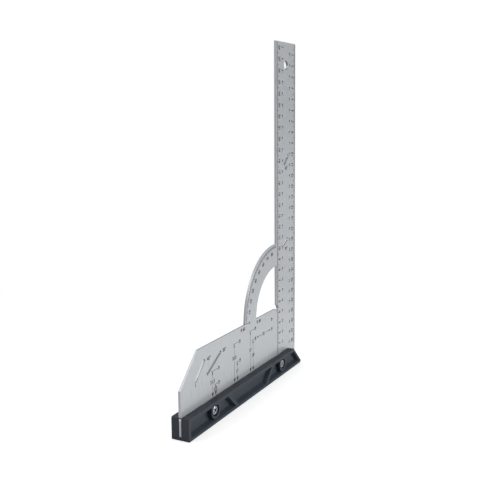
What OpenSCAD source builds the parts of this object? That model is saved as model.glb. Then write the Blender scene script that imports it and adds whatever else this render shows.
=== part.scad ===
// Universal angle gauge: a flat marking plate with a rule blade, a quarter
// protractor and marking slots, held upright in a slotted moulded stock.
// Millimetres. +Z up, X along the stock with the blade at the +X end,
// -Y is the graduated front. The origin is the middle of the stock's underside.

/* [View] */
// Which sub-part to show

/* [Plate] */
// Thickness of the sheet
plate_t = 2; // [1.5:0.1:3]
// Overall length along the stock
plate_w = 200; // [160:1:260]
// Reach of the blade above the stock's bearing face
blade_reach = 285.3; // [200:0.1:360]
// Width of the rule blade
blade_w = 40; // [30:1:50]
// Height of the broad base above the bearing face
base_h = 45; // [35:1:60]
// Size of the 45 degree cut at the base's free corner
corner_cut = 24.5; // [5:0.5:40]
// Step at the free end where the tongue enters the slot
tongue_step = 0.4; // [0:0.1:3]

/* [Protractor] */
// Outer radius of the graduated arc
arc_outer_r = 60; // [50:1:80]
// Radius of the open quarter window
arc_inner_r = 40; // [20:1:45]
// Radius of the relief at the arc's centre
centre_relief_r = 2.5; // [1:0.1:4]

/* [Holes in the blade] */
// Diameter of the scribing holes
scribe_d = 2.8; // [1:0.1:4]
// Pitch of the scribing holes
scribe_pitch = 10; // [5:1:20]
// Left column, from the blade's outer edge
scribe_left_x = 27.3; // [20:0.1:35]
// Right column, from the blade's outer edge
scribe_right_x = 12.2; // [6:0.1:18]
// Diameter of the hanging hole
hang_d = 8; // [4:0.5:12]
// Hanging hole below the blade's tip
hang_drop = 20; // [10:1:40]

/* [Angle slots] */
// Width of the two slots in the blade
blade_slot_w = 2.8; // [1:0.1:4]
// Overall length of the upper blade slot
blade_slot_45_l = 12.8; // [6:0.1:20]
// Height of the upper blade slot above the bearing face
blade_slot_45_z = 180.3; // [120:0.1:240]
// Overall length of the lower blade slot
blade_slot_30_l = 11.2; // [6:0.1:20]
// Height of the lower blade slot above the bearing face
blade_slot_30_z = 104.4; // [60:0.1:110]
// Width of the two slots in the base
base_slot_w = 2.8; // [1:0.1:4]
// Overall length of the 45 degree base slot
base_slot_45_l = 20.3; // [8:0.1:30]
// 45 degree base slot, middle from the free end
base_slot_45_x = 27.4; // [20:0.1:60]
// Overall length of the 30 degree base slot
base_slot_30_l = 25.6; // [8:0.1:30]
// 30 degree base slot, middle from the free end
base_slot_30_x = 48.2; // [40:0.1:80]
// Height of the base slots' middle above the bearing face
base_slot_z = 27.7; // [15:0.1:35]

/* [Marking holes in the base] */
// Diameter of the marking holes
mark_d = 3; // [1:0.1:4]
// First column, from the free end
mark_a_x = 55; // [40:1:70]
// First column, upper height
mark_a_hi = 21.5; // [15:0.5:35]
// First column, lower height
mark_a_lo = 9.5; // [5:0.5:14]
// Second column, from the free end
mark_b_x = 90; // [75:1:110]
// Second column, upper height
mark_b_hi = 33.5; // [20:0.5:40]
// Second column, lower height
mark_b_lo = 17; // [8:0.5:19]
// Third column, from the free end
mark_c_x = 118; // [112:1:130]
// Fourth column, from the third
mark_c_gap = 32; // [20:1:40]
// Third and fourth columns, upper height
mark_c_hi = 37; // [30:0.5:42]
// Third and fourth columns, lower height
mark_c_lo = 28; // [20:0.5:29]

/* [Stock] */
// Height of the stock
stock_h = 18; // [14:0.5:26]
// Thickness of the stock
stock_t = 15.4; // [12:0.2:24]
// Square end set back from the plate's free end
stock_setback = 0.2; // [0:0.1:2]
// Length of the bearing face short of the blade's outer edge
bevel_run = 16.2; // [8:0.1:20]
// Depth of the slot that holds the plate
slot_depth = 15; // [10:0.5:16]
// Gap on each side of the plate in the slot
slot_gap = 0.3; // [0.1:0.05:0.5]
// Radius at the square end's upper corner
top_round = 1.2; // [0.4:0.1:4]
// Radius at the square end's lower corner
foot_round = 0.8; // [0.2:0.2:2]
// Radius at the bevelled end's pointed foot
toe_round = 1.5; // [0.5:0.5:3]

/* [Stock side pockets] */
// Depth of the side pockets
pocket_depth = 4; // [1:0.1:4.6]
// Rim above the pockets
rim_top = 3; // [2:0.1:4]
// Rim below the pockets
rim_bottom = 2.3; // [1.5:0.1:4]
// Rim at the square end
rim_end = 3; // [2:0.1:5]
// Rim at the bevelled end, measured level
rim_bevel = 2.8; // [2:0.1:5]
// Rise of the sloping pocket floor
floor_rise = 1.9; // [0:0.1:3]
// Half distance between the slanting ribs at mid height
rib_half_span = 33; // [25:0.5:45]
// Width of a slanting rib at the outer face
rib_w = 3; // [1.5:0.1:5]
// Extra half width of a rib at its root, and of the walls at both ends
rib_draft = 1.3; // [0:0.1:2]

/* [Clamp screws] */
// Left screw, from the middle of the stock
screw_left = -60.8; // [-80:0.1:-40]
// Right screw, from the middle of the stock
screw_right = 59.7; // [40:0.1:75]
// Height of the screws above the underside
screw_z = 10.5; // [8:0.1:12]
// Outer radius of the screw bosses
boss_r = 6.6; // [5:0.1:8]
// Screw shank diameter
shank_d = 4; // [3:0.5:5]
// Screw length under the head
shank_l = 12; // [8:1:16]
// Screw head diameter
head_d = 8; // [6:0.1:9]
// Screw head height
head_h = 2.6; // [2:0.1:3.2]
// Rounding of the head's edge
head_round = 1.3; // [0.3:0.1:2]
// Head sunk below the boss face
head_sink = 0.65; // [0:0.05:1.5]
// Counterbore diameter
counterbore_d = 9.2; // [7.5:0.1:10.5]
// Width of the cross recess wings
cross_w = 1.1; // [0.5:0.1:1.5]
// Span of the cross recess
cross_span = 4.6; // [2:0.1:5]
// Depth of the cross recess
cross_depth = 1.5; // [0.5:0.1:2]
// Clearance of the shank in the stock and plate, on the radius
shank_gap = 0.25; // [0.1:0.05:0.5]
// Nut size across the flats
nut_af = 7; // [6:0.5:8]
// Nut height
nut_h = 3.2; // [2:0.1:4]
// Clearance around the nut, on each flat
nut_gap = 0.1; // [0.05:0.05:0.3]
// Nut sunk below the rear boss face
nut_sink = 1; // [0:0.1:2]
// Gap between the screw and the nut's bore, on the radius
thread_gap = 0.05; // [0.02:0.01:0.2]
// Radius of the pads that grip the plate at each screw
pad_r = 5; // [4:0.5:7]

/* [Slot reliefs] */
// Length of the relief beside each screw
relief_l = 21; // [10:0.5:30]
// Extra gap of the relief on each side
relief_gap = 0.7; // [0.2:0.1:1.5]
// Depth of the relief below the bearing face
relief_depth = 2.4; // [1:0.1:4]

/* [Hidden] */
$fn = 64;
eps = 0.5;
free_x = -plate_w / 2;
edge_x = plate_w / 2;
blade_x = edge_x - blade_w;
face_z = stock_h;
plate_foot_z = stock_h - slot_depth;
blade_top_z = face_z + blade_reach;
base_top_z = face_z + base_h;
scribe_count = floor((blade_reach - 5) / scribe_pitch);
stock_end_x = free_x + stock_setback;
bevel_top_x = edge_x - bevel_run;
slot_w = plate_t + 2 * slot_gap;
pocket_lo_z = rim_bottom;
pocket_hi_z = stock_h - rim_top;
pocket_mid_z = (pocket_lo_z + pocket_hi_z) / 2;
pocket_back_y = -stock_t / 2 + pocket_depth;
floor_slope = floor_rise / pocket_depth;
rib_slope = rib_draft / pocket_depth;
head_seat_y = -stock_t / 2 + head_sink + head_h;
nut_seat_y = stock_t / 2 - nut_sink - nut_h;
boss_top = pocket_hi_z - screw_z + eps;
toe_half = 22.5;
toe_tip_x = bevel_top_x + stock_h;
plate_colour = [0.74, 0.76, 0.77];
stock_colour = [0.16, 0.17, 0.19];
zinc_colour = [0.70, 0.71, 0.70];

// Lays an XZ outline flat and gives it a thickness across the plate
module across(t) {
    rotate([90, 0, 0])
        linear_extrude(height = t, center = true)
            children();
}

// Outline of a round-ended slot of overall length l and width w
module slot_outline(l, w, turn) {
    rotate(turn) {
        square([l - w, w], center = true);
        translate([-(l - w) / 2, 0])
            circle(d = w);
        translate([(l - w) / 2, 0])
            circle(d = w);
    }
}

// Quarter ring of the protractor, growing from the base and the blade
module arc_outline() {
    difference() {
        intersection() {
            translate([blade_x, base_top_z])
                circle(r = arc_outer_r, $fn = 180);
            translate([blade_x - arc_outer_r - eps, base_top_z])
                square([arc_outer_r + eps, arc_outer_r + eps]);
        }
        translate([blade_x, base_top_z])
            circle(r = arc_inner_r, $fn = 180);
    }
}

// Outer outline of the sheet
module plate_outline() {
    difference() {
        union() {
            translate([blade_x, plate_foot_z])
                square([blade_w, blade_top_z - plate_foot_z]);
            translate([free_x + tongue_step, plate_foot_z])
                square([blade_x - free_x, face_z - plate_foot_z + eps]);
            translate([free_x, face_z])
                square([blade_x - free_x + eps, base_h]);
            arc_outline();
        }
        polygon([
            [free_x - eps, base_top_z - corner_cut - eps],
            [free_x - eps, base_top_z + eps],
            [free_x + corner_cut + eps, base_top_z + eps]
        ]);
        translate([blade_x, base_top_z])
            circle(r = centre_relief_r);
    }
}

// The two columns of scribing holes
module scribing_outline() {
    for (i = [0 : scribe_count])
        translate([edge_x - scribe_left_x, face_z + i * scribe_pitch])
            circle(d = scribe_d);
    for (i = [1 : scribe_count])
        translate([edge_x - scribe_right_x, blade_top_z - i * scribe_pitch])
            circle(d = scribe_d);
}

// The eight marking holes of the base
module marking_outline() {
    for (q = [
        [mark_a_x, mark_a_hi],
        [mark_a_x, mark_a_lo],
        [mark_b_x, mark_b_hi],
        [mark_b_x, mark_b_lo],
        [mark_c_x, mark_c_hi],
        [mark_c_x, mark_c_lo],
        [mark_c_x + mark_c_gap, mark_c_hi],
        [mark_c_x + mark_c_gap, mark_c_lo]
    ])
        translate([free_x + q[0], face_z + q[1]])
            circle(d = mark_d);
}

// The four slanting pencil slots
module angle_slots_outline() {
    translate([edge_x - blade_w / 2 + 0.3, face_z + blade_slot_45_z])
        slot_outline(blade_slot_45_l, blade_slot_w, 45);
    translate([edge_x - blade_w / 2 - 0.7, face_z + blade_slot_30_z])
        slot_outline(blade_slot_30_l, blade_slot_w, 30);
    translate([free_x + base_slot_45_x, face_z + base_slot_z])
        slot_outline(base_slot_45_l, base_slot_w, 45);
    translate([free_x + base_slot_30_x, face_z + base_slot_z])
        slot_outline(base_slot_30_l, base_slot_w, 30);
}

// Flat sheet with blade, base, protractor and every through hole
module rule_plate() {
    color(plate_colour)
        across(plate_t)
            difference() {
                plate_outline();
                scribing_outline();
                marking_outline();
                angle_slots_outline();
                translate([edge_x - blade_w / 2, blade_top_z - hang_drop])
                    circle(d = hang_d);
                for (x = [screw_left, screw_right])
                    translate([x, screw_z])
                        circle(r = shank_d / 2 + shank_gap);
            }
}

// Side outline of the stock: one square end, one end bevelled at 45 degrees
module stock_outline() {
    difference() {
        polygon([
            [stock_end_x, 0],
            [toe_tip_x, 0],
            [bevel_top_x, stock_h],
            [stock_end_x, stock_h]
        ]);
        difference() {
            translate([stock_end_x - eps, stock_h - top_round])
                square([top_round + eps, top_round + eps]);
            translate([stock_end_x + top_round, stock_h - top_round])
                circle(r = top_round);
        }
        difference() {
            translate([stock_end_x - eps, -eps])
                square([foot_round + eps, foot_round + eps]);
            translate([stock_end_x + foot_round, foot_round])
                circle(r = foot_round);
        }
        difference() {
            polygon([
                [toe_tip_x - toe_round / tan(toe_half), -eps],
                [toe_tip_x + eps, -eps],
                [toe_tip_x + eps, toe_round * 2],
                [toe_tip_x - toe_round / tan(toe_half) * cos(45), toe_round / tan(toe_half) * sin(45)],
                [toe_tip_x - toe_round / tan(toe_half), toe_round]
            ]);
            translate([toe_tip_x - toe_round / tan(toe_half), toe_round])
                circle(r = toe_round);
        }
    }
}

// Pocket outline seen from the side, following both ends of the stock
module pocket_outline() {
    polygon([
        [stock_end_x + rim_end, 0],
        [toe_tip_x - rim_bevel, 0],
        [toe_tip_x - rim_bevel - stock_h, stock_h],
        [stock_end_x + rim_end, stock_h]
    ]);
}

// Pocket with a sloping floor, before the ribs and bosses are left standing
module pocket_blank() {
    intersection() {
        across(stock_t + 2 * eps)
            pocket_outline();
        translate([free_x, 0, 0])
            rotate([90, 0, 90])
                linear_extrude(height = plate_w)
                    polygon([
                        [-stock_t / 2 - eps, pocket_lo_z - floor_slope * eps],
                        [pocket_back_y, pocket_lo_z + floor_rise],
                        [pocket_back_y, pocket_hi_z],
                        [-stock_t / 2 - eps, pocket_hi_z]
                    ]);
    }
}

// One slanting rib, wider at its root; lean is +1 or -1
module rib(lean) {
    translate([lean * rib_half_span, 0, pocket_mid_z])
        rotate([0, lean * 45, 0])
            translate([0, 0, -stock_h])
                linear_extrude(height = 2 * stock_h)
                    polygon([
                        [-rib_w / 2 + rib_slope * eps, -stock_t / 2 - eps],
                        [rib_w / 2 - rib_slope * eps, -stock_t / 2 - eps],
                        [rib_w / 2 + rib_draft + rib_slope * eps, pocket_back_y + eps],
                        [-rib_w / 2 - rib_draft - rib_slope * eps, pocket_back_y + eps]
                    ]);
}

// Drafted wall at one end of the pocket; turn leans it, side is +1 or -1
module end_wall(x, turn, side) {
    translate([x, 0, pocket_mid_z])
        rotate([0, turn, 0])
            translate([0, 0, -stock_h])
                linear_extrude(height = 2 * stock_h)
                    polygon([
                        [side * rib_slope * eps, -stock_t / 2 - eps],
                        [side * bevel_run, -stock_t / 2 - eps],
                        [side * bevel_run, pocket_back_y + eps],
                        [-side * (rib_draft + rib_slope * eps), pocket_back_y + eps]
                    ]);
}

// U-shaped boss that hangs from the upper rim around a screw
module boss(x) {
    translate([x, 0, screw_z])
        rotate([90, 0, 0])
            cylinder(r = boss_r, h = stock_t / 2 + 2 * eps);
    translate([x - boss_r, -stock_t / 2 - 2 * eps, screw_z])
        cube([2 * boss_r, stock_t / 2 + 2 * eps, boss_top]);
}

// Everything that is hollowed out of one side of the stock
module side_pocket() {
    difference() {
        pocket_blank();
        rib(1);
        rib(-1);
        end_wall(toe_tip_x - rim_bevel - pocket_mid_z, -45, 1);
        end_wall(stock_end_x + rim_end, 0, -1);
        boss(screw_left);
        boss(screw_right);
    }
}

// Holes for one screw and nut, through both cheeks
module clamp_holes(x) {
    translate([x, 0, screw_z])
        rotate([90, 0, 0]) {
            cylinder(r = shank_d / 2 + shank_gap, h = stock_t + 2 * eps, center = true);
            translate([0, 0, -head_seat_y])
                cylinder(d = counterbore_d, h = stock_t / 2);
            translate([0, 0, -nut_seat_y - stock_t / 2])
                rotate(30)
                    cylinder(d = (nut_af + 2 * nut_gap) / cos(30), h = stock_t / 2, $fn = 6);
        }
}

// Slot for the plate, with reliefs beside the screws and gripping pads left in
module plate_slot() {
    difference() {
        translate([free_x - eps, -slot_w / 2, plate_foot_z])
            cube([plate_w + 2 * eps, slot_w, slot_depth + eps]);
        for (x = [screw_left, screw_right])
            for (s = [-1, 1])
                translate([x, s * (plate_t / 2 + slot_gap / 2 + eps / 2), screw_z])
                    rotate([90, 0, 0])
                        cylinder(r = pad_r, h = slot_gap + eps, center = true);
    }
    for (x = [screw_left, screw_right])
        translate([x - relief_l / 2, -slot_w / 2 - relief_gap, stock_h - relief_depth])
            cube([relief_l, slot_w + 2 * relief_gap, relief_depth + eps]);
}

// One-piece moulded stock
module stock() {
    color(stock_colour)
        difference() {
            across(stock_t)
                stock_outline();
            plate_slot();
            side_pocket();
            mirror([0, 1, 0])
                side_pocket();
            clamp_holes(screw_left);
            clamp_holes(screw_right);
        }
}

// Pan head screw lying along Y with its head to the front
module clamp_screw(x) {
    color(zinc_colour)
        translate([x, head_seat_y, screw_z])
            rotate([90, 0, 0])
                difference() {
                    union() {
                        rotate_extrude() {
                            square([head_d / 2, head_h - head_round]);
                            square([head_d / 2 - head_round, head_h]);
                            translate([head_d / 2 - head_round, head_h - head_round])
                                intersection() {
                                    circle(r = head_round);
                                    square(head_round);
                                }
                        }
                        translate([0, 0, -shank_l])
                            cylinder(d = shank_d, h = shank_l + eps);
                    }
                    for (turn = [45, 135])
                        translate([0, 0, head_h - cross_depth / 2 + eps / 2])
                            rotate(turn)
                                cube([cross_span, cross_w, cross_depth + eps], center = true);
                }
}

// Hexagon nut sunk in the rear boss
module clamp_nut(x) {
    color(zinc_colour)
        translate([x, nut_seat_y, screw_z])
            rotate([-90, 0, 0])
                difference() {
                    intersection() {
                        rotate(30)
                            cylinder(d = nut_af / cos(30), h = nut_h, $fn = 6);
                        union() {
                            cylinder(d1 = nut_af, d2 = nut_af + 2 * nut_h, h = nut_h / 2);
                            translate([0, 0, nut_h / 2])
                                cylinder(d1 = nut_af + 2 * nut_h, d2 = nut_af, h = nut_h / 2);
                        }
                    }
                    translate([0, 0, -eps])
                        cylinder(r = shank_d / 2 + thread_gap, h = nut_h + 2 * eps);
                }
}

module clamp_screw_left() {
    clamp_screw(screw_left);
}

module clamp_screw_right() {
    clamp_screw(screw_right);
}

module clamp_nut_left() {
    clamp_nut(screw_left);
}

module clamp_nut_right() {
    clamp_nut(screw_right);
}

rule_plate();
stock();
clamp_screw_left();
clamp_screw_right();
clamp_nut_left();
clamp_nut_right();
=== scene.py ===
"""Universal angle gauge: finishes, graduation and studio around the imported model.

Lengths are in metres, and in millimetres where a comment says so. The gauge's frame has its origin
in the middle of the stock's underside, +X along the stock towards the blade, +Z up the blade and
-Y out of the graduated front.
"""

import math

import bpy
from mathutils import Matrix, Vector


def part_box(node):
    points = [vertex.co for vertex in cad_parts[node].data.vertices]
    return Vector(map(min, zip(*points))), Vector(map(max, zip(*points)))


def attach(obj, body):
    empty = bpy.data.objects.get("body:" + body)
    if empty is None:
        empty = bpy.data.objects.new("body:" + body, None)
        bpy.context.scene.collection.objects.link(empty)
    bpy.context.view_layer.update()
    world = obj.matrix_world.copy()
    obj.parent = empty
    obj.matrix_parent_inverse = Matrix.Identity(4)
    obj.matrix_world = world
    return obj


bl_info = {
    "name": "Universal angle gauge",
    "version": (1, 0, 0),
    "blender": (4, 5, 0),
    "location": "3D View > Sidebar > Angle gauge",
    "description": "Finishes, graduation and studio for the universal angle gauge",
    "category": "Object",
}

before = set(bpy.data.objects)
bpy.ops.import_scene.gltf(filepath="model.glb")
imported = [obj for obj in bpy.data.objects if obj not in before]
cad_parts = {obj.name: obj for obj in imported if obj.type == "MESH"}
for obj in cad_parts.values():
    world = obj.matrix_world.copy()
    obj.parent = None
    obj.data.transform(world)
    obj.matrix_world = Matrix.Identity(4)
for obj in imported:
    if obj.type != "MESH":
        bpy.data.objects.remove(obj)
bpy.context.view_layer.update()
PLATE_LOW, PLATE_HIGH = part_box("rule_plate")
FACE_Y = PLATE_LOW.y
BLADE_RIGHT = PLATE_HIGH.x
BLADE_TOP = PLATE_HIGH.z
STOCK_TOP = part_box("stock")[1].z

MM = 0.001
WELD_DISTANCE = 0.0000005
WHITE = (1.0, 1.0, 1.0, 1.0)
UPRIGHT = 0.0
READS_DOWN = math.pi / 2
READS_UP = -math.pi / 2


# Shapes of the marks, as parts of a line's width, an arrow's length or a figure's height

LINE_ROUNDING = 0.42
ARROW_ROUNDING = 0.03
ARROW_NARROWING = 0.8
# A triangle in a circle is half as long again as the circle's radius
TRIANGLE_LENGTH = 1.5
CAPITAL_HEIGHT = 0.7
FIGURE_WEIGHT = 0.05


# Places of the marks, in millimetres across from the blade's right edge and up from the stock

CENTIMETRES = 28
CENTIMETRE = 10.0
HALF_CENTIMETRE = 5.0
SHORT_TICKS = 4
# Tick's start at the edge, long tick's end, short tick's end, and the figures' place
LEFT_SCALE = (-38.9, -35.0, -36.5, -33.3)
RIGHT_SCALE = (-0.6, -4.5, -2.8, -6.5)

ARC_CENTRE = (-40.0, 45.0)
TICK_OUTER_RADIUS = 59.0
FIGURE_RADIUS = 53.0
PROTRACTOR_TICKS = (
    # inner radius, first angle, ticks in a group a degree apart, groups, angle between groups
    (57.0, 1.0, 4, 18, 5.0),
    (56.2, 5.0, 1, 9, 10.0),
    (55.6, 0.0, 1, 9, 10.0),
)
RADIUS_FIGURES = (("R 60", -104.3, 41.9), ("R 40", -75.4, 41.9))

SLOT_FIGURES = (
    ("45°", -19.6, 173.0),
    ("30°", -19.6, 98.1),
    ("45°", -159.6, 33.9),
    ("30°", -135.7, 33.9),
)
# Across, top and bottom of the tick under the slot nearest the free end
SLOT_TICK = (-179.3, 19.6, 17.0)
SLOT_TICK_WEIGHT = 1.7

HOLE_DIMENSIONS = (
    # figure, dimension line across, hole's edge across, hole's height, figure's height
    ("21,5", -154.6, -146.7, 21.5, 13.0),
    ("9,5", -150.0, -146.7, 9.5, 5.6),
    ("33,5", -119.4, -111.7, 33.5, 21.8),
    ("17", -114.6, -111.7, 17.0, 9.0),
    ("37", -91.3, -83.7, 37.0, 20.0),
    ("28", -86.5, -83.7, 28.0, 14.5),
)
LEADER_PAST_LINE = 2.0
HEAD_UNDER_LEADER = 0.2
FOOT_ABOVE_STOCK = 0.15
FIGURE_GAP = 0.9
SHORTEST_LINE = 0.6

# The spacing of the two right columns of holes: height, figure, lines and arrow tips across
SPACING_HEIGHT = 28.2
SPACING_FIGURE = ("32", -66.4)
SPACING_LINES = ((-76.6, -69.2), (-63.6, -55.8))
SPACING_TIPS = ((-79.2, "left"), (-53.2, "right"))


# Cells to the metre of the plate's grain and of the stock's pits

GRAIN_SCALE = 2400.0
PIT_SCALE = 3200.0


# Painted shade and painted highlights on the plate's cut walls, by place

# Painted shade: a wall with a recess within this reach takes the shaded colour
WALL_SHADE_DISTANCE = 0.006
LESS_LIT_ON_BASE = -0.45
GLINT_TONE = 1.35
# Painted highlight along the plate's edges
PLATE_EDGE_HIGHLIGHT = 1.16
CUT_ROUGHER_BY = 0.16
# Painted shade: the hanging hole's wall takes the shaded colour within this oval
HANGING_HOLE = (0.08, 0.0, 0.2833)
HANGING_REACH = (0.0046, 0.02, 0.0046)
BASE_END, BLADE_START = 0.055, 0.06
SLOT_WALL_HIGHLIGHTS = (
    # painted highlight on a slot's long wall: middle of the band, its slant, its reach along,
    # through and across the slot, and its tone
    ((-0.0726, 0.0007, 0.0457), 45.0, (0.0110, 0.0011, 0.0045), 1.25),
    ((0.0783, 0.0010, 0.1234), 30.0, (0.0095, 0.0013, 0.0045), 1.85),
)
TONGUE_LIGHT_AND_SHADE = (
    # place on the tongue's end, reach, finish and tone: painted shadow at the joint line, painted
    # highlight on the corner, painted shade on the front
    ((-0.1, 0.0, 0.0178), (0.003, 0.01, 0.0008), "shaded_wall", 0.24),
    ((-0.1, 0.0, 0.0162), (0.003, 0.01, 0.0009), "plate_edge", 1.4),
    ((-0.1, -0.001, 0.0085), (0.003, 0.00045, 0.0095), "stock", 1.0),
)

# Painted light on the stock: a darker tint on its top and ends, and a lighter one on its sides and
# in its pockets below this height
TOP_PAINTED_SHADE = (0.90, 0.92, 0.97)
SIDE_PAINTED_LIGHT = (1.44, 1.58, 1.35)
POCKET_TOP = 0.0155
POCKET_FADE = 0.001
# Painted highlight, in patches, along the stock's edges
STOCK_EDGE_HIGHLIGHT = 1.75

# The screws' turned rings, and a thread so many times as deep as they are
TURNED_RING = 0.00028
THREAD_PITCH = 0.0007
THREAD_DEPTH = 12.0
SHANK_RADIUS = 0.0019
SHANK_FADE = 0.00015
HEAD_FADE = 0.0002
# Painted shade in the screws' recesses, within this reach
RECESS_SHADE_DISTANCE = 0.0025


# Studio and camera

FLOOR_RADIUS = 4.0
FLOOR_GLOW = 0.54
FAR_FLOOR = 0.34
FADE_START, FADE_END = 0.12, 0.5
SURROUND_ALL_ROUND = 0.01
# Axis and strength of the light from each side; minus is from the axis's negative side
SURROUND_SIDES = (("X", -0.03), ("Y", 0.70), ("Z", 0.52))
LAMP_TARGET = (0.0, 0.0, 0.1)
FRONT_LAMP_PLACE, FRONT_LAMP_SIZE = (0.3, -1.1, 0.35), (0.9, 0.6)
BACK_LAMP_PLACE, BACK_LAMP_SIZE = (-0.64, 0.62, 0.98), (0.45, 0.45)
CAMERA_PLACE = (-0.52587, -0.29008, 0.23902)
CAMERA_TURN = (math.radians(80.768), 0.0, math.radians(-64.448))
CAMERA_LENS = 53.638
CAMERA_SHIFT = (-0.08352, -0.02236)
SENSOR_WIDTH = 36.0


# Places on the graduated front

def on_face(across, up):
    """A point of the front face: millimetres from the blade's right edge, and above the stock."""
    return Vector((BLADE_RIGHT + across * MM, FACE_Y, STOCK_TOP + up * MM))


def on_arc(radius, degrees):
    """A point of the protractor, at a radius in millimetres and an angle from its left end."""
    turn = math.radians(degrees)
    across = ARC_CENTRE[0] - radius * math.cos(turn)
    up = ARC_CENTRE[1] + radius * math.sin(turn)
    return on_face(across, up)


# Sizes and colours that a user would change

class GaugeMarks(bpy.types.PropertyGroup):
    """Sizes of the etched marks on the plate."""

    line_width: bpy.props.FloatProperty(
        name="Line width",
        description="Width of a graduation line",
        default=0.00044, min=0.0001, max=0.0008, precision=5, unit="LENGTH",
    )
    fine_width: bpy.props.FloatProperty(
        name="Fine line width",
        description="Width of the arrowed dimension lines",
        default=0.00037, min=0.0001, max=0.0006, precision=5, unit="LENGTH",
    )
    relief: bpy.props.FloatProperty(
        name="Relief",
        description="How far a mark's face stands off the plate, and how deep it is sunk",
        default=0.000015, min=0.000005, max=0.00005, precision=6, unit="LENGTH",
    )
    figure_height: bpy.props.FloatProperty(
        name="Figure height",
        description="Height of the centimetre figures along the blade",
        default=0.0029, min=0.002, max=0.005, precision=4, unit="LENGTH",
    )
    small_figure_height: bpy.props.FloatProperty(
        name="Small figure height",
        description="Height of the figures on the arc, at the slots and in the dimension lines",
        default=0.0028, min=0.0015, max=0.0045, precision=4, unit="LENGTH",
    )
    arrow_length: bpy.props.FloatProperty(
        name="Arrow length",
        description="Length of an arrowhead of a dimension line",
        default=0.0025, min=0.001, max=0.005, precision=4, unit="LENGTH",
    )
    foot_arrow_length: bpy.props.FloatProperty(
        name="Foot arrow length",
        description="Length of the heavier arrowhead that points down at the stock",
        default=0.0036, min=0.001, max=0.005, precision=4, unit="LENGTH",
    )


class GaugeFinishes(bpy.types.PropertyGroup):
    """Colours of the gauge's own finishes."""

    plate: bpy.props.FloatVectorProperty(
        name="Plate",
        description="Satin anodised aluminium of the plate's faces",
        subtype="COLOR", size=3, min=0.0, max=1.0, default=(0.581, 0.608, 0.627),
    )
    plate_edge: bpy.props.FloatVectorProperty(
        name="Cut edges",
        description="Milled metal along the plate's cut edges, slots and holes",
        subtype="COLOR", size=3, min=0.0, max=1.0, default=(0.560, 0.575, 0.630),
    )
    # Painted shade: the colour of the walls deep in the slots and holes, and of those that face
    # down
    shaded_wall: bpy.props.FloatVectorProperty(
        name="Shaded walls",
        description="Milled metal deep in the slots and holes",
        subtype="COLOR", size=3, min=0.0, max=1.0, default=(0.240, 0.255, 0.298),
    )
    ink: bpy.props.FloatVectorProperty(
        name="Marks",
        description="Dark etched graduation",
        subtype="COLOR", size=3, min=0.0, max=1.0, default=(0.022, 0.023, 0.025),
    )
    stock: bpy.props.FloatVectorProperty(
        name="Stock",
        description="Moulded anthracite plastic of the stock",
        subtype="COLOR", size=3, min=0.0, max=1.0, default=(0.0190, 0.0245, 0.0385),
    )
    zinc: bpy.props.FloatVectorProperty(
        name="Screws and nuts",
        description="Bright zinc plating of the clamp screws and nuts",
        subtype="COLOR", size=3, min=0.0, max=1.0, default=(0.700, 0.765, 0.805),
    )


class GaugeStudio(bpy.types.PropertyGroup):
    """Levels of the studio light and colour of the floor."""

    floor: bpy.props.FloatVectorProperty(
        name="Floor",
        description="Plain pale floor under the gauge",
        subtype="COLOR", size=3, min=0.0, max=1.0, default=(0.86, 0.86, 0.86),
    )
    front_lamp: bpy.props.FloatProperty(
        name="Front lamp",
        description="Power of the wide soft lamp in front of the gauge",
        default=9.4, min=0.0, max=100.0, unit="POWER",
    )
    back_lamp: bpy.props.FloatProperty(
        name="Back lamp",
        description="Power of the soft lamp above and behind the gauge",
        default=2.9, min=0.0, max=100.0, unit="POWER",
    )
    surround: bpy.props.FloatProperty(
        name="Surround",
        description="Strength of the light that comes from all round",
        default=1.0, min=0.0, max=3.0,
    )


# Small helpers for modelling by operators

def clear_selection():
    """Leave object mode with nothing selected, because an operator acts on all that is selected."""
    if bpy.context.object and bpy.context.object.mode != "OBJECT":
        bpy.ops.object.mode_set(mode="OBJECT")
    bpy.ops.object.select_all(action="DESELECT")


def pick(*objects):
    """Select these objects alone; the first one is the active one."""
    clear_selection()
    for obj in objects:
        obj.select_set(True)
    bpy.context.view_layer.objects.active = objects[0]


def open_mesh(obj):
    """Go into edit mode on one object, with its whole mesh selected."""
    pick(obj)
    bpy.ops.object.mode_set(mode="EDIT")
    bpy.ops.mesh.select_all(action="SELECT")


def close_mesh():
    """Turn all faces outwards and leave edit mode."""
    bpy.ops.mesh.select_all(action="SELECT")
    bpy.ops.mesh.normals_make_consistent(inside=False)
    bpy.ops.object.mode_set(mode="OBJECT")


def settle(obj):
    """Put a finished object's place into its mesh."""
    pick(obj)
    bpy.ops.object.transform_apply(location=True, rotation=True, scale=True)


def round_and_thicken(obj, rounding):
    """Round a flat mark's corners, and draw it out from under the plate's face to above it."""
    relief = bpy.context.scene.gauge_marks.relief
    bpy.ops.mesh.bevel(offset=rounding, offset_type="OFFSET", segments=2, affect="VERTICES")
    bpy.ops.object.mode_set(mode="OBJECT")
    open_mesh(obj)
    bpy.ops.mesh.extrude_region_move(
        TRANSFORM_OT_translate={"value": (0.0, -2.0 * relief, 0.0)}
    )
    close_mesh()


def line(start, end, width):
    """A line on the front face, with ends rounded as the etching spot leaves them."""
    relief = bpy.context.scene.gauge_marks.relief
    clear_selection()
    middle = (start + end) / 2.0
    run = end - start
    bpy.ops.mesh.primitive_plane_add(
        size=1.0,
        location=(middle.x, FACE_Y + relief, middle.z),
        rotation=(math.pi / 2, -math.atan2(run.z, run.x), 0.0),
    )
    obj = bpy.context.object
    obj.scale = (run.length, width, 1.0)
    settle(obj)
    open_mesh(obj)
    round_and_thicken(obj, width * LINE_ROUNDING)
    return obj


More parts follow.
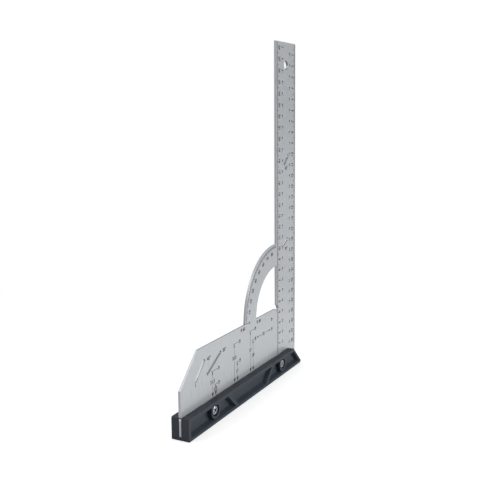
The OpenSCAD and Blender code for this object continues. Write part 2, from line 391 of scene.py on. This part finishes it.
def arrow(tip, points_to, length):
    """A slender arrowhead whose tip is at a point of the front face."""
    relief = bpy.context.scene.gauge_marks.relief
    turns = {"up": 0.0, "down": math.pi, "right": math.pi / 2, "left": -math.pi / 2}
    turn = turns[points_to]
    radius = length / TRIANGLE_LENGTH
    clear_selection()
    bpy.ops.mesh.primitive_circle_add(
        vertices=3,
        radius=radius,
        fill_type="NGON",
        location=(tip.x, FACE_Y + relief, tip.z),
        rotation=(math.pi / 2, turn, 0.0),
    )
    obj = bpy.context.object
    obj.scale = (ARROW_NARROWING, 1.0, 1.0)
    settle(obj)
    open_mesh(obj)
    back = Vector((math.sin(turn), 0.0, math.cos(turn))) * radius
    bpy.ops.transform.translate(value=(-back.x, 0.0, -back.z))
    round_and_thicken(obj, length * ARROW_ROUNDING)
    return obj


def figure(words, place, height, turn=UPRIGHT):
    """A number etched on the front face, centred on a place, made a mesh before it is placed."""
    clear_selection()
    bpy.ops.object.text_add()
    lettering = bpy.context.object.data
    lettering.body = words
    lettering.size = height / CAPITAL_HEIGHT
    lettering.offset = FIGURE_WEIGHT * height
    lettering.resolution_u = 3
    lettering.fill_mode = "BOTH"
    lettering.extrude = bpy.context.scene.gauge_marks.relief
    bpy.ops.object.convert(target="MESH")
    obj = bpy.context.object
    across = [vertex.co.x for vertex in obj.data.vertices]
    middle = (min(across) + max(across)) / 2.0
    open_mesh(obj)
    bpy.ops.mesh.remove_doubles(threshold=WELD_DISTANCE)
    bpy.ops.transform.translate(value=(-middle, -height / 2.0, 0.0))
    close_mesh()
    obj.rotation_euler = (math.pi / 2, turn, 0.0)
    obj.location = (place.x, FACE_Y, place.z)
    settle(obj)
    return obj


def gather(name, parts):
    """Join the parts to one named piece of the graduation that rides on the gauge."""
    pick(*parts)
    bpy.ops.object.join()
    obj = bpy.context.object
    obj.name = name
    obj.data.name = name
    settle(obj)
    obj.data.materials.clear()
    obj.data.materials.append(etched_marks())
    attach(obj, "root")


def repeat(obj, count, step):
    """Repeat a mark at even steps up or down the blade."""
    pick(obj)
    array = obj.modifiers.new("graduation", "ARRAY")
    array.use_relative_offset = False
    array.use_constant_offset = True
    array.constant_offset_displace = (0.0, 0.0, step)
    array.count = count
    bpy.ops.object.modifier_apply(modifier=array.name)


# Small helpers for node trees

def node(tree, kind, links=None, **settings):
    """Add a node, set its properties, and feed its inputs from sockets or plain values."""
    made = tree.nodes.new(kind)
    for key, value in settings.items():
        setattr(made, key, value)
    for key, value in (links or {}).items():
        if isinstance(value, bpy.types.NodeSocket):
            tree.links.new(value, made.inputs[key])
        else:
            made.inputs[key].default_value = value
    return made


def combine(tree, operation, first, second=0.0):
    """One value from two by a sum, product or the like, or from one where that is all it takes."""
    return node(
        tree, "ShaderNodeMath", {0: first, 1: second}, operation=operation
    ).outputs["Value"]


def ramp(tree, value, start, end, low=0.0, high=1.0, interpolation="LINEAR"):
    """A value that goes from low to high, and no further, as another goes from start to end."""
    made = node(
        tree, "ShaderNodeMapRange",
        {"Value": value, "From Min": start, "From Max": end, "To Min": low, "To Max": high},
        interpolation_type=interpolation,
    )
    return made.outputs["Result"]


def parts_of(tree, vector):
    """The X, Y and Z of a vector."""
    return node(tree, "ShaderNodeSeparateXYZ", {0: vector}).outputs


def true_normal(tree):
    """The X, Y and Z of the way that a face looks."""
    return parts_of(tree, tree.nodes.new("ShaderNodeNewGeometry").outputs["True Normal"])


def length_of(tree, vector):
    """The length of a vector."""
    return node(tree, "ShaderNodeVectorMath", {0: vector}, operation="LENGTH").outputs["Value"]


def openness(tree, distance):
    """A value that is 1 on an open face and falls in a recess, by what lies within a distance."""
    return node(
        tree, "ShaderNodeAmbientOcclusion", {"Color": WHITE, "Distance": distance}, samples=8
    ).outputs["AO"]


def noise(tree, place, scale, detail, roughness=0.5):
    """Even noise between 0 and 1."""
    return node(
        tree, "ShaderNodeTexNoise",
        {"Vector": place, "Scale": scale, "Detail": detail, "Roughness": roughness},
    ).outputs["Fac"]


def near(tree, place, middle, reach, slant=0.0):
    """A mask that is 1 within an oval round a place, slanted by an angle up from level."""
    oval = node(
        tree, "ShaderNodeMapping",
        {"Vector": place, "Location": middle, "Rotation": (0.0, -math.radians(slant), 0.0),
         "Scale": reach},
        vector_type="TEXTURE",
    )
    return ramp(tree, length_of(tree, oval.outputs["Vector"]), 1.0, 0.95)


def scaled(colour, amount):
    """A colour made lighter or darker by an amount."""
    return tuple(min(1.0, channel * amount) for channel in colour)


def tinted(tree, colour, tint):
    """A colour times another colour, or times one value."""
    return node(
        tree, "ShaderNodeVectorMath", {0: colour, 1: tint}, operation="MULTIPLY"
    ).outputs["Vector"]


def blend_colours(tree, factor, first, second):
    """Mix two colours by a factor, each a socket or three plain numbers."""
    mix = tree.nodes.new("ShaderNodeMix")
    mix.data_type = "RGBA"
    tree.links.new(factor, mix.inputs[0])
    for index, colour in ((6, first), (7, second)):
        if isinstance(colour, bpy.types.NodeSocket):
            tree.links.new(colour, mix.inputs[index])
        else:
            mix.inputs[index].default_value = (*colour, 1.0)
    return mix.outputs[2]


def bump(tree, shader, height, strength, distance, normal=None):
    """Give a shader its relief, on top of softened normals where there are any."""
    links = {"Strength": strength, "Distance": distance, "Height": height}
    if normal:
        links["Normal"] = normal
    made = node(tree, "ShaderNodeBump", links)
    tree.links.new(made.outputs["Normal"], shader.inputs["Normal"])


# Node groups that more than one finish uses

def new_group(name, inputs, outputs):
    """An empty shader node group with named sockets, and its own input and output sockets."""
    group = bpy.data.node_groups.new(name, "ShaderNodeTree")
    for label, kind, default in inputs:
        socket = group.interface.new_socket(label, in_out="INPUT", socket_type=kind)
        if default is not None:
            socket.default_value = default
    for label, kind in outputs:
        group.interface.new_socket(label, in_out="OUTPUT", socket_type=kind)
    inside = group.nodes.new("NodeGroupInput")
    outside = group.nodes.new("NodeGroupOutput")
    return group, inside.outputs, outside.inputs


def use_group(tree, group, **values):
    """Place a node group in a material with its own values."""
    made = tree.nodes.new("ShaderNodeGroup")
    made.node_tree = group
    for key, value in values.items():
        socket = made.inputs[key.replace("_", " ")]
        if isinstance(value, bpy.types.NodeSocket):
            tree.links.new(value, socket)
        else:
            socket.default_value = value
    return made.outputs


def rounded_edges_group():
    """Softened normals along sharp edges, and a mask that is 1 on them, by which the finishes paint
    a highlight along the edges.
    """
    if "Rounded edges" in bpy.data.node_groups:
        return bpy.data.node_groups["Rounded edges"]
    group, given, out = new_group(
        "Rounded edges",
        [("Radius", "NodeSocketFloat", 0.0003), ("Wear radius", "NodeSocketFloat", 0.0005)],
        [("Normal", "NodeSocketVector"), ("Edge", "NodeSocketFloat")],
    )
    soft = node(group, "ShaderNodeBevel", {"Radius": given["Radius"]}, samples=6)
    edge_highlight = node(group, "ShaderNodeBevel", {"Radius": given["Wear radius"]}, samples=6)
    flat = node(group, "ShaderNodeNewGeometry")
    agreement = node(
        group, "ShaderNodeVectorMath",
        {0: edge_highlight.outputs["Normal"], 1: flat.outputs["True Normal"]}, operation="DOT_PRODUCT",
    ).outputs["Value"]
    mask = ramp(group, agreement, 0.985, 0.86, interpolation="SMOOTHSTEP")
    group.links.new(soft.outputs["Normal"], out["Normal"])
    group.links.new(mask, out["Edge"])
    return group


def rolled_grain_group():
    """Fine streaks of rolled metal: long along one direction, narrow across it."""
    if "Rolled grain" in bpy.data.node_groups:
        return bpy.data.node_groups["Rolled grain"]
    group, given, out = new_group(
        "Rolled grain",
        [("Vector", "NodeSocketVector", None), ("Across", "NodeSocketFloat", GRAIN_SCALE)],
        [("Height", "NodeSocketFloat"), ("Cloud", "NodeSocketFloat")],
    )
    streaks = node(
        group, "ShaderNodeMapping", {"Vector": given["Vector"], "Scale": (1.0, 1.0, 0.02)}
    )
    grain = noise(
        group, streaks.outputs["Vector"], scale=given["Across"], detail=3.0, roughness=0.6
    )
    cloud = noise(group, given["Vector"], scale=26.0, detail=4.0, roughness=0.55)
    group.links.new(grain, out["Height"])
    group.links.new(cloud, out["Cloud"])
    return group


def moulded_skin_group():
    """Spark-eroded skin of a moulded part: fine even pits, with soft flow clouds."""
    if "Moulded skin" in bpy.data.node_groups:
        return bpy.data.node_groups["Moulded skin"]
    group, given, out = new_group(
        "Moulded skin",
        [("Vector", "NodeSocketVector", None), ("Pits", "NodeSocketFloat", PIT_SCALE)],
        [("Height", "NodeSocketFloat"), ("Cloud", "NodeSocketFloat")],
    )
    cells = node(
        group, "ShaderNodeTexVoronoi",
        {"Vector": given["Vector"], "Scale": given["Pits"]}, feature="SMOOTH_F1",
    ).outputs["Distance"]
    fine = noise(group, given["Vector"], scale=5200.0, detail=2.0)
    cloud = noise(group, given["Vector"], scale=42.0, detail=3.0)
    group.links.new(combine(group, "ADD", cells, fine), out["Height"])
    group.links.new(cloud, out["Cloud"])
    return group


# Finishes

def blank_material(name, slot_colour):
    """A material with a Principled shader, and the object's own coordinates."""
    made = bpy.data.materials.new(name)
    made.use_nodes = True
    made.diffuse_color = (*slot_colour, 1.0)
    tree = made.node_tree
    tree.nodes.clear()
    output = tree.nodes.new("ShaderNodeOutputMaterial")
    shader = tree.nodes.new("ShaderNodeBsdfPrincipled")
    tree.links.new(shader.outputs["BSDF"], output.inputs["Surface"])
    place = tree.nodes.new("ShaderNodeTexCoord").outputs["Object"]
    return made, tree, shader, place


def cut_walls(tree, place, facing, colours):
    """Colour of the plate's milled walls, with painted shade by how deep they lie, and painted
    light and shade by place and by how they face.
    """
    edge, shaded = tuple(colours.plate_edge), tuple(colours.shaded_wall)
    # Painted shade: walls deep in a recess, and the hanging hole's wall, take the shaded colour
    open_wall = ramp(tree, openness(tree, WALL_SHADE_DISTANCE), 0.62, 0.92)
    hanging = near(tree, place, HANGING_HOLE, HANGING_REACH)
    unshaded = combine(tree, "MULTIPLY", open_wall, combine(tree, "SUBTRACT", 1.0, hanging))

    # Painted light: in the holes the walls that face up are painted lit, and in the base only those
    # that face well up; where they lie deep they get a painted glint
    across = parts_of(tree, place)["X"]
    less_on_base = ramp(tree, across, BASE_END, BLADE_START, low=LESS_LIT_ON_BASE, high=0.0)
    upward = ramp(tree, combine(tree, "ADD", facing["Z"], less_on_base), -0.25, 0.1)
    not_slot = ramp(tree, facing["Z"], 0.7, 0.66)
    lit_hole = combine(tree, "MULTIPLY", upward, not_slot)
    walls = blend_colours(tree, combine(tree, "MAXIMUM", unshaded, lit_hole), shaded, edge)
    inside = combine(tree, "SUBTRACT", 1.0, open_wall)
    glint = combine(tree, "MULTIPLY", inside, lit_hole)
    walls = blend_colours(tree, glint, walls, scaled(edge, GLINT_TONE))

    # A slot's long walls face further up than the lit walls of a hole
    long_wall = ramp(tree, facing["Z"], 0.6, 0.68)
    # Painted highlights along the long walls of two slots
    for middle, slant, reach, tone in SLOT_WALL_HIGHLIGHTS:
        band = near(tree, place, middle, reach, slant)
        lit_band = combine(tree, "MULTIPLY", band, long_wall)
        walls = blend_colours(tree, lit_band, walls, scaled(edge, tone))
    # Painted shadow at the tongue's joint line, painted highlight on its corner, painted shade on
    # its front
    for middle, reach, finish, tone in TONGUE_LIGHT_AND_SHADE:
        spot = near(tree, place, middle, reach)
        walls = blend_colours(tree, spot, walls, scaled(getattr(colours, finish), tone))
    return walls


def satin_aluminium():
    """Anodised aluminium of the plate: rolled grain, faint clouds, milled walls with painted shade
    and highlights, and a painted highlight along the edges.
    """
    if "satin_aluminium" in bpy.data.materials:
        return bpy.data.materials["satin_aluminium"]
    colours = bpy.context.scene.gauge_finishes
    made, tree, shader, place = blank_material("satin_aluminium", colours.plate)
    edges = use_group(tree, rounded_edges_group(), Radius=0.00018, Wear_radius=0.0003)
    grain = use_group(tree, rolled_grain_group(), Vector=place, Across=GRAIN_SCALE)
    facing = true_normal(tree)
    cut = ramp(tree, combine(tree, "ABSOLUTE", facing["Y"]), 0.7, 0.3)
    clouds = blend_colours(
        tree, grain["Cloud"], scaled(colours.plate, 0.98), scaled(colours.plate, 1.02)
    )
    streaks = ramp(tree, grain["Height"], 0.3, 0.7, low=0.992, high=1.008)
    faces = tinted(tree, clouds, streaks)
    milled = blend_colours(tree, cut, faces, cut_walls(tree, place, facing, colours))
    # Painted highlight along the plate's edges
    edge_highlight = blend_colours(
        tree, edges["Edge"], milled, scaled(colours.plate_edge, PLATE_EDGE_HIGHLIGHT)
    )
    tree.links.new(edge_highlight, shader.inputs["Base Color"])
    satin = ramp(tree, grain["Height"], 0.25, 0.75, low=0.27, high=0.30)
    glossier = ramp(tree, edges["Edge"], 0.0, 1.0, low=0.0, high=-0.1)
    with_edges = combine(tree, "ADD", satin, glossier)
    rougher_cut = combine(tree, "MULTIPLY", cut, CUT_ROUGHER_BY)
    tree.links.new(combine(tree, "ADD", with_edges, rougher_cut), shader.inputs["Roughness"])
    shader.inputs["Metallic"].default_value = 0.4
    bump(
        tree, shader, grain["Height"], strength=0.012, distance=0.00001, normal=edges["Normal"]
    )
    return made


def moulded_anthracite():
    """Dark moulded plastic of the stock: pitted skin, soft clouds, painted light by how a face
    looks and how low it lies, and glossier edges with a patchy painted highlight.
    """
    if "moulded_anthracite" in bpy.data.materials:
        return bpy.data.materials["moulded_anthracite"]
    colours = bpy.context.scene.gauge_finishes
    made, tree, shader, place = blank_material("moulded_anthracite", colours.stock)
    edges = use_group(tree, rounded_edges_group(), Radius=0.00032, Wear_radius=0.0005)
    skin = use_group(tree, moulded_skin_group(), Vector=place, Pits=PIT_SCALE)
    clouds = blend_colours(
        tree, skin["Cloud"], scaled(colours.stock, 0.93), scaled(colours.stock, 1.07)
    )
    # Painted light: the top and ends take a darker tint, and the sides and pockets a lighter one
    facing = true_normal(tree)
    side = ramp(tree, combine(tree, "ABSOLUTE", facing["Y"]), 0.5, 0.9)
    not_end = ramp(tree, combine(tree, "ABSOLUTE", facing["X"]), 0.99, 0.96)
    low = ramp(tree, parts_of(tree, place)["Z"], POCKET_TOP + POCKET_FADE, POCKET_TOP)
    pocket = combine(tree, "MULTIPLY", not_end, low)
    tint = blend_colours(tree, combine(tree, "MAXIMUM", side, pocket), TOP_PAINTED_SHADE, SIDE_PAINTED_LIGHT)
    # Painted highlight along the edges, in patches; the same patches make the edges glossier
    patchy = noise(tree, place, scale=160.0, detail=5.0, roughness=0.65)
    edge_highlight_patches = combine(tree, "MULTIPLY", edges["Edge"], patchy)
    with_edges = blend_colours(
        tree, edge_highlight_patches, tinted(tree, clouds, tint), scaled(colours.stock, STOCK_EDGE_HIGHLIGHT)
    )
    tree.links.new(with_edges, shader.inputs["Base Color"])
    satin = ramp(tree, skin["Cloud"], 0.3, 0.7, low=0.46, high=0.56)
    glossier = ramp(tree, edge_highlight_patches, 0.0, 1.0, low=0.0, high=-0.12)
    tree.links.new(combine(tree, "ADD", satin, glossier), shader.inputs["Roughness"])
    bump(tree, shader, skin["Height"], strength=0.35, distance=0.00003, normal=edges["Normal"])
    return made


def turned_zinc(name, axis):
    """Bright zinc plating with turned rings round the screw's axis and a thread on its shank, with
    a painted highlight along its edges and painted shade in its recesses.
    """
    colours = bpy.context.scene.gauge_finishes
    made, tree, shader, place = blank_material(name, colours.zinc)
    edges = use_group(tree, rounded_edges_group(), Radius=0.00015, Wear_radius=0.00022)
    centred = node(
        tree, "ShaderNodeMapping", {"Vector": place, "Location": (-axis.x, 0.0, -axis.z)}
    ).outputs["Vector"]
    along = parts_of(tree, centred)["Y"]
    radius = length_of(tree, tinted(tree, centred, (1.0, 0.0, 1.0)))
    rings = combine(tree, "MULTIPLY", radius, 2.0 * math.pi / TURNED_RING)
    turns = combine(tree, "MULTIPLY", along, 2.0 * math.pi / THREAD_PITCH)
    on_shank = ramp(
        tree, radius, SHANK_RADIUS + SHANK_FADE, SHANK_RADIUS, low=0.0, high=THREAD_DEPTH
    )
    behind_head = ramp(tree, along, -HEAD_FADE, HEAD_FADE)
    thread = combine(
        tree, "MULTIPLY", combine(tree, "SINE", turns),
        combine(tree, "MULTIPLY", on_shank, behind_head),
    )
    relief = combine(tree, "ADD", combine(tree, "SINE", rings), thread)
    mottle = noise(tree, centred, scale=900.0, detail=4.0, roughness=0.6)
    plating = blend_colours(
        tree, mottle, scaled(colours.zinc, 0.86), scaled(colours.zinc, 1.08)
    )
    # Painted highlight along the screw's edges
    bright = blend_colours(tree, edges["Edge"], plating, scaled(colours.zinc, 1.25))
    # Painted shade in the cross recess and wherever the screw lies in a recess
    open_face = ramp(tree, openness(tree, RECESS_SHADE_DISTANCE), 0.5, 0.74)
    with_recess_shade = blend_colours(tree, open_face, scaled(colours.zinc, 0.10), bright)
    tree.links.new(with_recess_shade, shader.inputs["Base Color"])
    satin = ramp(tree, mottle, 0.3, 0.7, low=0.16, high=0.3)
    tree.links.new(satin, shader.inputs["Roughness"])
    shader.inputs["Metallic"].default_value = 1.0
    bump(tree, shader, relief, strength=0.5, distance=0.00001, normal=edges["Normal"])
    return made


def etched_marks():
    """Dark marks etched into the anodising, a little uneven in tone."""
    if "etched_marks" in bpy.data.materials:
        return bpy.data.materials["etched_marks"]
    colours = bpy.context.scene.gauge_finishes
    made, tree, shader, place = blank_material("etched_marks", colours.ink)
    grain = use_group(tree, rolled_grain_group(), Vector=place, Across=GRAIN_SCALE)
    burn = noise(tree, place, scale=3800.0, detail=3.0, roughness=0.7)
    tone = blend_colours(tree, burn, scaled(colours.ink, 0.75), scaled(colours.ink, 1.5))
    tree.links.new(tone, shader.inputs["Base Color"])
    tree.links.new(ramp(tree, burn, 0.3, 0.7, low=0.5, high=0.7), shader.inputs["Roughness"])
    bump(tree, shader, grain["Height"], strength=0.3, distance=0.000008)
    return made


def dress(name, material):
    """Give a carried-over part of the model its finish."""
    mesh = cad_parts[name].data
    if not mesh.materials:
        mesh.materials.append(material)
    for index in range(len(mesh.materials)):
        mesh.materials[index] = material


# Operators, one for each piece or group of like pieces

class GAUGE_OT_finish_plate(bpy.types.Operator):
    """Give the rule plate its satin aluminium"""

    bl_idname = "gauge.finish_plate"
    bl_label = "Finish the plate"

    def execute(self, context):
        dress("rule_plate", satin_aluminium())
        return {"FINISHED"}


class GAUGE_OT_finish_stock(bpy.types.Operator):
    """Give the stock its moulded anthracite plastic"""

    bl_idname = "gauge.finish_stock"
    bl_label = "Finish the stock"

    def execute(self, context):
        dress("stock", moulded_anthracite())
        return {"FINISHED"}


class GAUGE_OT_finish_fasteners(bpy.types.Operator):
    """Give the clamp screws and nuts their zinc plating"""

    bl_idname = "gauge.finish_fasteners"
    bl_label = "Finish the screws and nuts"

    def execute(self, context):
        for side in ("left", "right"):
            low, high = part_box("clamp_screw_" + side)
            material = turned_zinc("turned_zinc_" + side, (low + high) / 2.0)
            dress("clamp_screw_" + side, material)
            dress("clamp_nut_" + side, material)
        return {"FINISHED"}


def blade_scale(name, places, turn, zero, way):
    """One millimetre scale of the blade, up (1) or down (-1): ticks from an edge, and figures."""
    marks = bpy.context.scene.gauge_marks
    edge, long_end, short_end, figure_place = places
    half_centimetres = 2 * CENTIMETRES
    first_short = zero + way
    short = line(on_face(edge, first_short), on_face(short_end, first_short), marks.line_width)
    repeat(short, SHORT_TICKS, way * MM)
    repeat(short, half_centimetres + 1, way * HALF_CENTIMETRE * MM)
    first_long = zero + way * HALF_CENTIMETRE
    long_ticks = line(on_face(edge, first_long), on_face(long_end, first_long), marks.line_width)
    repeat(long_ticks, half_centimetres, way * HALF_CENTIMETRE * MM)
    gather(name + "_ticks", [short, long_ticks])
    figures = []
    for count in range(1, CENTIMETRES + 1):
        middle = on_face(figure_place, zero + way * CENTIMETRE * count)
        figures.append(figure(str(count), middle, marks.figure_height, turn))
    gather(name + "_figures", figures)


class GAUGE_OT_left_scale(bpy.types.Operator):
    """Etch the scale up the blade's left edge, which starts at the stock"""

    bl_idname = "gauge.left_scale"
    bl_label = "Left blade scale"

    def execute(self, context):
        blade_scale("left_scale", LEFT_SCALE, READS_DOWN, 0.0, 1.0)
        return {"FINISHED"}


class GAUGE_OT_right_scale(bpy.types.Operator):
    """Etch the scale down the blade's right edge, which starts at the blade's end"""

    bl_idname = "gauge.right_scale"
    bl_label = "Right blade scale"

    def execute(self, context):
        blade_scale("right_scale", RIGHT_SCALE, READS_UP, (BLADE_TOP - STOCK_TOP) / MM, -1.0)
        return {"FINISHED"}


class GAUGE_OT_protractor_scale(bpy.types.Operator):
    """Etch the degree ticks and figures round the protractor"""

    bl_idname = "gauge.protractor_scale"
    bl_label = "Protractor scale"

    def execute(self, context):
        marks = context.scene.gauge_marks
        hub = on_arc(0.0, 0.0)
        ticks = []
        for inner, start, count, groups, gap in PROTRACTOR_TICKS:
            tick = line(
                on_arc(TICK_OUTER_RADIUS, start), on_arc(inner, start), marks.line_width
            )
            open_mesh(tick)
            for copies, turn in ((count, 1.0), (groups, gap)):
                if copies > 1:
                    bpy.ops.mesh.select_all(action="SELECT")
                    bpy.ops.mesh.spin(
                        steps=copies - 1, dupli=True, angle=math.radians(turn * (copies - 1)),
                        center=hub, axis=(0.0, -1.0, 0.0),
                    )
            close_mesh()
            ticks.append(tick)
        gather("protractor_ticks", ticks)
        gather("protractor_figures", [
            figure(
                str(degrees), on_arc(FIGURE_RADIUS, degrees), marks.small_figure_height,
                -math.radians(90 - degrees),
            )
            for degrees in range(0, 90, 10)
        ])
        return {"FINISHED"}


class GAUGE_OT_slot_angles(bpy.types.Operator):
    """Etch the angle beside each slanted slot, and the small tick under the first one"""

    bl_idname = "gauge.slot_angles"
    bl_label = "Angles of the slots"

    def execute(self, context):
        marks = context.scene.gauge_marks
        parts = [
            figure(words, on_face(across, up), marks.small_figure_height)
            for words, across, up in SLOT_FIGURES
        ]
        across, top, bottom = SLOT_TICK
        width = marks.line_width * SLOT_TICK_WEIGHT
        parts.append(line(on_face(across, top), on_face(across, bottom), width))
        gather("slot_angle_marks", parts)
        return {"FINISHED"}


class GAUGE_OT_radius_marks(bpy.types.Operator):
    """Etch the radius beside the foot of each side of the protractor's arc"""

    bl_idname = "gauge.radius_marks"
    bl_label = "Radius marks"

    def execute(self, context):
        height = context.scene.gauge_marks.small_figure_height
        gather("radius_marks", [
            figure(words, on_face(across, up), height) for words, across, up in RADIUS_FIGURES
        ])
        return {"FINISHED"}


class GAUGE_OT_hole_dimensions(bpy.types.Operator):
    """Etch the arrowed height of each marking hole above the stock, and the spacing of the holes"""

    bl_idname = "gauge.hole_dimensions"
    bl_label = "Heights of the marking holes"

    def execute(self, context):
        marks = context.scene.gauge_marks
        width = marks.fine_width
        height = marks.small_figure_height
        head = marks.arrow_length / MM
        foot = marks.foot_arrow_length / MM
        half = height / MM / 2.0 + FIGURE_GAP
        lines, figures = [], []
        for words, across, hole, up, middle in HOLE_DIMENSIONS:
            lines.append(line(on_face(across - LEADER_PAST_LINE, up), on_face(hole, up), width))
            tip = on_face(across, up - HEAD_UNDER_LEADER)
            lines.append(arrow(tip, "up", marks.arrow_length))
            tip = on_face(across, FOOT_ABOVE_STOCK)
            lines.append(arrow(tip, "down", marks.foot_arrow_length))
            for low, high in ((middle + half, up - head), (foot, middle - half)):
                if high - low > SHORTEST_LINE:
                    lines.append(line(on_face(across, low), on_face(across, high), width))
            figures.append(figure(words, on_face(across, middle), height))
        words, across = SPACING_FIGURE
        figures.append(figure(words, on_face(across, SPACING_HEIGHT), height))
        for start, end in SPACING_LINES:
            lines.append(
                line(on_face(start, SPACING_HEIGHT), on_face(end, SPACING_HEIGHT), width)
            )
        for across, points_to in SPACING_TIPS:
            tip = on_face(across, SPACING_HEIGHT)
            lines.append(arrow(tip, points_to, marks.arrow_length))
        gather("hole_dimension_lines", lines)
        gather("hole_dimension_figures", figures)
        return {"FINISHED"}


# Studio

def soft_lamp(name, place, size, power):
    """A wide soft lamp that faces the gauge."""
    data = bpy.data.lights.new(name, "AREA")
    data.shape = "RECTANGLE"
    data.size, data.size_y = size
    data.energy = power
    lamp = bpy.data.objects.new(name, data)
    bpy.context.scene.collection.objects.link(lamp)
    lamp.location = place
    away = Vector(LAMP_TARGET) - Vector(place)
    lamp.rotation_euler = away.to_track_quat("-Z", "Y").to_euler()


def studio_floor():
    """Pale floor that takes the gauge's shadow and fades into the white surround."""
    colour = tuple(bpy.context.scene.gauge_studio.floor)
    made, tree, shader, place = blank_material("studio_floor", colour)
    output = next(n for n in tree.nodes if n.type == "OUTPUT_MATERIAL")
    speckle = noise(tree, place, scale=90.0, detail=3.0)
    paper = blend_colours(tree, speckle, scaled(colour, 0.99), scaled(colour, 1.01))
    tree.links.new(paper, shader.inputs["Base Color"])
    shader.inputs["Roughness"].default_value = 0.9
    shader.inputs["Specular IOR Level"].default_value = 0.1
    rays = tree.nodes.new("ShaderNodeLightPath").outputs
    seen = rays["Is Camera Ray"]
    mirrored = combine(tree, "MAXIMUM", seen, rays["Is Glossy Ray"])
    shown = combine(tree, "MAXIMUM", mirrored, rays["Is Transmission Ray"])
    far = ramp(
        tree, length_of(tree, place), FADE_START, FADE_END, interpolation="SMOOTHSTEP"
    )
    glow = node(
        tree, "ShaderNodeEmission",
        {"Color": WHITE, "Strength": ramp(tree, seen, 0.0, 1.0, low=0.0, high=FLOOR_GLOW)},
    )
    lit = node(
        tree, "ShaderNodeAddShader", {0: shader.outputs["BSDF"], 1: glow.outputs["Emission"]}
    )
    white = node(
        tree, "ShaderNodeEmission",
        {"Color": WHITE, "Strength": ramp(tree, seen, 0.0, 1.0, low=FAR_FLOOR, high=1.0)},
    )
    fade = combine(tree, "MULTIPLY", far, shown)
    mixed = node(
        tree, "ShaderNodeMixShader",
        {0: fade, 1: lit.outputs["Shader"], 2: white.outputs["Emission"]},
    )
    tree.links.new(mixed.outputs["Shader"], output.inputs["Surface"])
    return made


def studio_surround():
    """Light from all round: white where it is seen, brightest behind the gauge."""
    world = bpy.data.worlds.new("studio_surround")
    bpy.context.scene.world = world
    world.use_nodes = True
    tree = world.node_tree
    tree.nodes.clear()
    output = tree.nodes.new("ShaderNodeOutputWorld")
    way = parts_of(tree, tree.nodes.new("ShaderNodeTexCoord").outputs["Generated"])
    total = SURROUND_ALL_ROUND
    for axis, strength in SURROUND_SIDES:
        part = combine(tree, "MAXIMUM", combine(tree, "MULTIPLY", way[axis], strength), 0.0)
        total = combine(tree, "ADD", part, total)
    level = combine(tree, "MULTIPLY", total, bpy.context.scene.gauge_studio.surround)
    rays = tree.nodes.new("ShaderNodeLightPath").outputs
    shown = node(
        tree, "ShaderNodeMix", {0: rays["Is Camera Ray"], 2: level, 3: 1.0}, data_type="FLOAT"
    )
    light = node(
        tree, "ShaderNodeBackground", {"Color": WHITE, "Strength": shown.outputs[0]}
    )
    tree.links.new(light.outputs["Background"], output.inputs["Surface"])


class GAUGE_OT_stage(bpy.types.Operator):
    """Set the floor, the surround, the lamps and the camera"""

    bl_idname = "gauge.stage"
    bl_label = "Studio and camera"

    def execute(self, context):
        scene = context.scene
        scene.view_settings.view_transform = "Standard"
        clear_selection()
        bpy.ops.mesh.primitive_circle_add(
            vertices=96, radius=FLOOR_RADIUS, fill_type="NGON", location=(0.0, 0.0, 0.0)
        )
        floor = context.object
        floor.name = "floor"
        floor.data.materials.append(studio_floor())
        studio_surround()
        studio = scene.gauge_studio
        soft_lamp("front_lamp", FRONT_LAMP_PLACE, FRONT_LAMP_SIZE, studio.front_lamp)
        soft_lamp("back_lamp", BACK_LAMP_PLACE, BACK_LAMP_SIZE, studio.back_lamp)
        lens = bpy.data.cameras.new("camera")
        lens.sensor_fit = "HORIZONTAL"
        lens.sensor_width = SENSOR_WIDTH
        lens.lens = CAMERA_LENS
        lens.shift_x, lens.shift_y = CAMERA_SHIFT
        lens.clip_start = 0.01
        camera = bpy.data.objects.new("camera", lens)
        scene.collection.objects.link(camera)
        camera.location = CAMERA_PLACE
        camera.rotation_euler = CAMERA_TURN
        scene.camera = camera
        return {"FINISHED"}


class GAUGE_PT_panel(bpy.types.Panel):
    """Lists the steps that dress the gauge, with their sizes and colours"""

    bl_idname = "GAUGE_PT_panel"
    bl_label = "Angle gauge"
    bl_space_type = "VIEW_3D"
    bl_region_type = "UI"
    bl_category = "Angle gauge"

    def draw(self, context):
        layout = self.layout
        for group in ("gauge_marks", "gauge_finishes", "gauge_studio"):
            owner = getattr(context.scene, group)
            box = layout.box()
            for key in owner.__annotations__:
                box.prop(owner, key)
        for step in STEPS:
            layout.operator(step.bl_idname)


STEPS = (
    GAUGE_OT_finish_plate,
    GAUGE_OT_finish_stock,
    GAUGE_OT_finish_fasteners,
    GAUGE_OT_left_scale,
    GAUGE_OT_right_scale,
    GAUGE_OT_protractor_scale,
    GAUGE_OT_slot_angles,
    GAUGE_OT_radius_marks,
    GAUGE_OT_hole_dimensions,
    GAUGE_OT_stage,
)
CLASSES = (GaugeMarks, GaugeFinishes, GaugeStudio, *STEPS, GAUGE_PT_panel)


def register():
    for made in CLASSES:
        bpy.utils.register_class(made)
    bpy.types.Scene.gauge_marks = bpy.props.PointerProperty(type=GaugeMarks)
    bpy.types.Scene.gauge_finishes = bpy.props.PointerProperty(type=GaugeFinishes)
    bpy.types.Scene.gauge_studio = bpy.props.PointerProperty(type=GaugeStudio)


def unregister():
    del bpy.types.Scene.gauge_studio
    del bpy.types.Scene.gauge_finishes
    del bpy.types.Scene.gauge_marks
    for made in reversed(CLASSES):
        bpy.utils.unregister_class(made)


def main():
    register()
    bpy.ops.gauge.finish_plate()
    bpy.ops.gauge.finish_stock()
    bpy.ops.gauge.finish_fasteners()
    bpy.ops.gauge.left_scale()
    bpy.ops.gauge.right_scale()
    bpy.ops.gauge.protractor_scale()
    bpy.ops.gauge.slot_angles()
    bpy.ops.gauge.radius_marks()
    bpy.ops.gauge.hole_dimensions()
    bpy.ops.gauge.stage()


if __name__ == "__main__":
    main()
